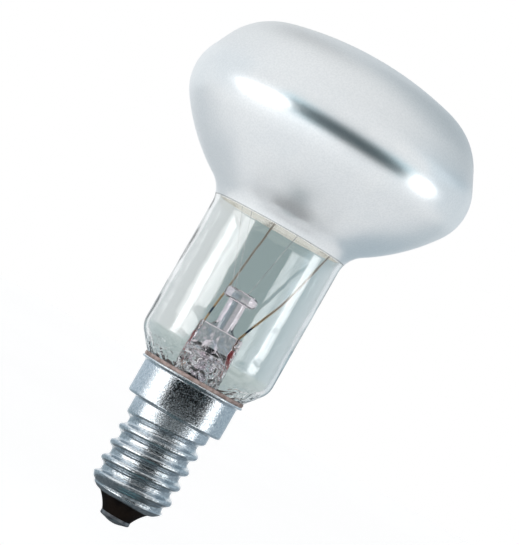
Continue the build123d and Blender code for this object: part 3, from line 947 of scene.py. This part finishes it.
def ring_card(name, radius, sides, rise, tint, strength, drop=0.0):
    """A studio card on a ring about the lamp, seen in gloss and glass only.

    Its sides are angles from the camera's side, and drop is how far its far side lies lower.
    """
    first, last = (radians(side) for side in sides)
    steps = max(2, round(abs(sides[1] - sides[0]) / CARD_FACET))
    bm = bmesh.new()
    foot = bm.verts.new((radius * sin(first), -radius * cos(first), rise[0]))
    grow(bm, foot, (0, 0, rise[1] - rise[0]))
    sweep(bm, last - first, steps, dvec=(0, 0, -drop / steps))
    card = stage_object(name, bm, card_material(name, tint, strength))
    hide_card(card)
    return card


def dish_card(name, sides, radii, bottom, wall, tint, strength):
    """A flat ring below the lamp, with a wall where one is given, seen in gloss and glass only."""
    first, last = (radians(side) for side in sides)
    inner, outer = radii
    out = outer - inner
    bm = bmesh.new()
    foot = bm.verts.new((inner * sin(first), -inner * cos(first), bottom))
    rim = grow(bm, foot, (out * sin(first), -out * cos(first), 0))
    if wall:
        grow(bm, rim, (0, 0, wall))
    sweep(bm, last - first, DISH_STEPS)
    card = stage_object(name, bm, card_material(name, tint, strength))
    hide_card(card)
    return card


def edges_on(radius, rise):
    """Heights on a ring of two angles above the head's level."""
    return tuple(CARD_LEVEL + radius * tan(radians(angle)) for angle in rise)


def far_card(name, stage, sides, rise, tint, strength, fall=0.0, pull=1.0):
    """A card on the far ring, whose lower and upper edges are angles above the head's level."""
    radius = stage.card_r * pull
    drop = radius * tan(radians(fall))
    return ring_card(name, radius, sides, edges_on(radius, rise), tint, strength, drop)


def spot_card(name, stage, middle, half, core, rim, fall=0, power=2.0, pull=1.0, core_share=0.25):
    """A card on the far ring whose light changes softly from its core to its rim.

    Its middle and half sizes are angles round and above the lamp, and its right end lies lower by fall.
    """
    radius = stage.card_r * pull
    sides = (middle[0] - half[0], middle[0] + half[0])
    rise = (middle[1] + fall / 2 - half[1], middle[1] + fall / 2 + half[1])
    card = far_card(name, stage, sides, rise, core, 1.0, fall, pull)
    tree = card.data.materials[0].node_tree
    axes = axes_of(tree)
    bearing = maths(tree, "ARCTAN2", axes["X"], maths(tree, "MULTIPLY", axes["Y"], -1.0))
    turn = tuple(radians(side) for side in sides)
    across = map_range(tree, bearing, turn, (-1.0, 1.0), "LINEAR")
    sink = map_range(tree, bearing, turn, (0.0, radius * tan(radians(fall))), "LINEAR")
    level = maths(tree, "ADD", axes["Z"], sink)
    upward = map_range(tree, level, edges_on(radius, rise), (-1.0, 1.0), "LINEAR")
    wide = maths(tree, "POWER", maths(tree, "ABSOLUTE", across), power)
    tall = maths(tree, "POWER", maths(tree, "ABSOLUTE", upward), 2.0)
    mask = map_range(tree, maths(tree, "ADD", wide, tall), (core_share, 1.0), DOWN)
    link(tree, mix_colours(tree, mask, rim, core), shine_of(tree).inputs["Color"])
    return card


def seen_rays(tree):
    """One for rays that show the background: from the camera, in gloss and through glass."""
    path = tree.nodes.new("ShaderNodeLightPath")
    rays = path.outputs["Is Camera Ray"]
    for name in ("Is Glossy Ray", "Is Transmission Ray"):
        rays = maths(tree, "MAXIMUM", rays, path.outputs[name])
    return rays


class LAMP_OT_stage(bpy.types.Operator):
    """Set up the floor, the studio cards, the light and the camera"""

    bl_idname = "lamp.stage"
    bl_label = "Studio stage"

    def execute(self, context):
        _, _, stage = settings()
        scene = context.scene
        scene.view_settings.view_transform = "Standard"
        self.world(scene)
        self.floor(stage)
        self.far_cards(stage)
        self.near_cards()
        self.cap_shade()
        self.back_card(stage)
        self.lamps(scene)
        self.camera(scene, stage)
        return {"FINISHED"}

    def world(self, scene):
        """White to the eye, and a plain grey light on the lamp."""
        world = bpy.data.worlds.new("studio_air")
        scene.world = world
        world.use_nodes = True
        tree = world.node_tree
        tree.nodes.clear()
        air = tree.nodes.new("ShaderNodeBackground")
        feed(tree, air.inputs["Color"], WHITE)
        link(tree, between(tree, seen_rays(tree), AIR_LIGHT, 1.0), air.inputs["Strength"])
        out = tree.nodes.new("ShaderNodeOutputWorld")
        link(tree, air.outputs["Background"], out.inputs["Surface"])

    def floor(self, stage):
        """A pale floor that shows white and keeps a soft shadow."""
        bm = bmesh.new()
        bmesh.ops.create_grid(bm, x_segments=1, y_segments=1, size=FLOOR_HALF)
        bmesh.ops.translate(bm, verts=bm.verts, vec=(0, 0, TIP_Z - stage.floor_drop))
        material, tree, shader = new_material("pale_floor")
        shade = [value * FLOOR_SHADE for value in stage.floor_colour]
        drift = use_group(tree, drift_group(), Scale=3.0, First=stage.floor_colour, Second=shade)
        link(tree, drift.outputs["Colour"], shader.inputs["Base Color"])
        shader.inputs["Roughness"].default_value = FLOOR_ROUGH
        feed(tree, shader.inputs["Emission Color"], WHITE)
        path = tree.nodes.new("ShaderNodeLightPath")
        gloss = between(tree, path.outputs["Is Glossy Ray"], 0.0, FLOOR_IN_GLOSS)
        from_lamp = tree.nodes.new("ShaderNodeVectorMath")
        from_lamp.operation = "LENGTH"
        link(tree, object_point(tree), from_lamp.inputs[0])
        white = map_range(tree, from_lamp.outputs["Value"], FLOOR_FADE, FLOOR_WHITE)
        glow = between(tree, path.outputs["Is Camera Ray"], gloss, white)
        link(tree, glow, shader.inputs["Emission Strength"])
        stage_object("floor", bm, material)

    def far_cards(self, stage):
        """Softboxes with a strip under each, a dark gap on the camera's side and bluish sides."""
        box = {"rise": SOFTBOX_RISE, "tint": WHITE, "pull": SOFTBOX_PULL}
        far_card("softbox_left", stage, (-85, -57), strength=3.3, **box)
        far_card("softbox_left_near", stage, (-57, -39), strength=5.2, **box)
        strip = {"rim": WHITE, "pull": STRIP_PULL}
        spot_card(
            "strip_left", stage, (-62, -6.5), (24, 7.5), core=(2.0, 2.0, 2.0), fall=-6, power=4.0, **strip
        )
        far_card("softbox_right", stage, (71, 88), strength=6.4, **box)
        spot_card("strip_right", stage, (79, -9), (16, 9), core=(2.1, 2.1, 2.1), **strip)
        gap = {"core": (0.0, 0.03, 0.04), "rim": (0.6, 0.9, 1.0), "core_share": 0.8}
        spot_card("dark_gap", stage, (11, -0.2), (57, 15.5), fall=9, **gap)
        far_card("side_left", stage, (-178, -83), (-40, 40), (0.95, 0.98, 1.0), 1.0)
        far_card("side_right", stage, (90, 178), (-14, 18), (0.9, 0.96, 1.0), 0.84)
        for name, sides, tint, strength in LOW_CARDS:
            low = ring_card(name, LOW_R, sides, LOW_RISE, tint, strength)
            low.visible_transmission = False
        high = {"core": (0.25, 0.35, 0.41), "rim": (0.84, 0.92, 0.97), "pull": 1.02}
        spot_card("side_right_high", stage, (140, 38), (58, 36), **high)
        far_card("back_high", stage, (95, 225), (12, 75), (0.8, 0.92, 1.0), 0.12, pull=1.05)

    def near_cards(self):
        """Cards close to the cap, for the cap alone, and a dark hood over its thread."""
        for name, sides, rise, tint, strength in NEAR_CARDS:
            limit_reach(ring_card(name, NEAR_R, sides, rise, tint, strength), NEAR_REACH)
        hood = ring_card("thread_hood", NEAR_R, (-24, 44), HOOD_RISE, (0.7, 0.93, 1.0), 0.015)
        limit_reach(hood, HOOD_REACH, HOOD_START)

    def cap_shade(self):
        """A dark cup below the tip for the undersides of the thread, and a dark card for the throat."""
        for name, sides, tint, strength in CUP_CARDS:
            cup = dish_card(name, sides, (CUP_INNER, NEAR_R), CUP_BOTTOM, CUP_WALL, tint, strength)
            limit_reach(cup, CUP_REACH)
        radii = (SHADE_INNER, SHADE_OUTER)
        shade = dish_card("throat_shade", (-34, 44), radii, SHADE_BOTTOM, 0.0, (0.5, 0.9, 1.0), 0.2)
        limit_reach(shade, SHADE_REACH)

    def back_card(self, stage):
        """A grey-green card behind the lamp that shows only through the glass."""
        bm = bmesh.new()
        upright = Matrix.Rotation(pi / 2, 4, "X")
        bmesh.ops.create_grid(bm, x_segments=1, y_segments=1, size=BACK_HALF, matrix=upright)
        bmesh.ops.translate(bm, verts=bm.verts, vec=BACK_PLACE)
        material = card_material("back_card", WHITE, 1.0)
        tree = material.node_tree
        axes = axes_of(tree)
        left = map_range(tree, axes["X"], BACK_LEFT, DOWN)
        right = map_range(tree, axes["X"], BACK_RIGHT)
        low = map_range(tree, axes["Z"], BACK_LOW, DOWN)
        mixed = mix_colours(tree, left, stage.back_middle, stage.back_left)
        mixed = mix_colours(tree, right, mixed, stage.back_right)
        mixed = mix_colours(tree, low, mixed, stage.back_low)
        link(tree, mixed, shine_of(tree).inputs["Color"])
        card = stage_object("back_card", bm, material)
        hide_card(card)
        card.visible_glossy = False

    def lamps(self, scene):
        """Soft lamps that light matt surfaces and stay out of the gloss."""
        for name, place, size, power in LAMPS:
            data = bpy.data.lights.new(name, "AREA")
            data.shape = "SQUARE"
            data.size = size
            data.energy = power
            lamp = bpy.data.objects.new(name, data)
            turn = (Vector(place) - LAMP_AIM).to_track_quat("Z", "Y").to_matrix().to_4x4()
            lamp.matrix_world = Matrix.Translation(place) @ turn
            lamp.visible_glossy = False
            lamp.visible_camera = False
            scene.collection.objects.link(lamp)

    def camera(self, scene, stage):
        """A long lens, turned so that the lamp leans as in the photograph."""
        data = bpy.data.cameras.new("camera")
        data.sensor_fit = "VERTICAL"
        data.sensor_height = SENSOR_HEIGHT
        data.lens = stage.lens
        data.clip_start = CLIP_START
        data.clip_end = CLIP_END
        camera = bpy.data.objects.new("camera", data)
        ahead = Vector((0, cos(stage.pitch), sin(stage.pitch)))
        across = Vector((1, 0, 0))
        up = across.cross(ahead)
        right = across * cos(stage.roll) + up * sin(stage.roll)
        over = up * cos(stage.roll) - across * sin(stage.roll)
        turn = Matrix((right, over, -ahead)).transposed().to_4x4()
        aim = Vector((stage.aim_x, 0, stage.aim_z))
        camera.matrix_world = Matrix.Translation(aim - ahead * stage.distance) @ turn
        scene.collection.objects.link(camera)
        scene.camera = camera


OPERATORS = (
    LAMP_OT_envelope,
    LAMP_OT_silvering,
    LAMP_OT_screw_cap,
    LAMP_OT_stem,
    LAMP_OT_wires,
    LAMP_OT_filament,
    LAMP_OT_stage,
)


class LAMP_PT_panel(bpy.types.Panel):
    """Lists the steps that dress the lamp"""

    bl_label = "Reflector lamp"
    bl_idname = "LAMP_PT_panel"
    bl_space_type = "VIEW_3D"
    bl_region_type = "UI"
    bl_category = "Lamp"

    def draw(self, context):
        for operator in OPERATORS:
            self.layout.operator(operator.bl_idname)


GROUPS = {"lamp_bulb": LampBulbSettings, "lamp_finish": LampFinishSettings, "lamp_stage": LampStageSettings}
CLASSES = (*GROUPS.values(), *OPERATORS, LAMP_PT_panel)


def register():
    """Adds the classes, and the settings to the scene."""
    for cls in CLASSES:
        bpy.utils.register_class(cls)
    for name, cls in GROUPS.items():
        setattr(bpy.types.Scene, name, PointerProperty(type=cls))


def unregister():
    """Takes the settings and the classes away again."""
    for name in GROUPS:
        delattr(bpy.types.Scene, name)
    for cls in reversed(CLASSES):
        bpy.utils.unregister_class(cls)


def main():
    """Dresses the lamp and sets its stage."""
    register()
    bpy.ops.lamp.envelope()
    bpy.ops.lamp.silvering()
    bpy.ops.lamp.screw_cap()
    bpy.ops.lamp.stem()
    bpy.ops.lamp.wires()
    bpy.ops.lamp.filament()
    bpy.ops.lamp.stage()


if __name__ == "__main__":
    main()
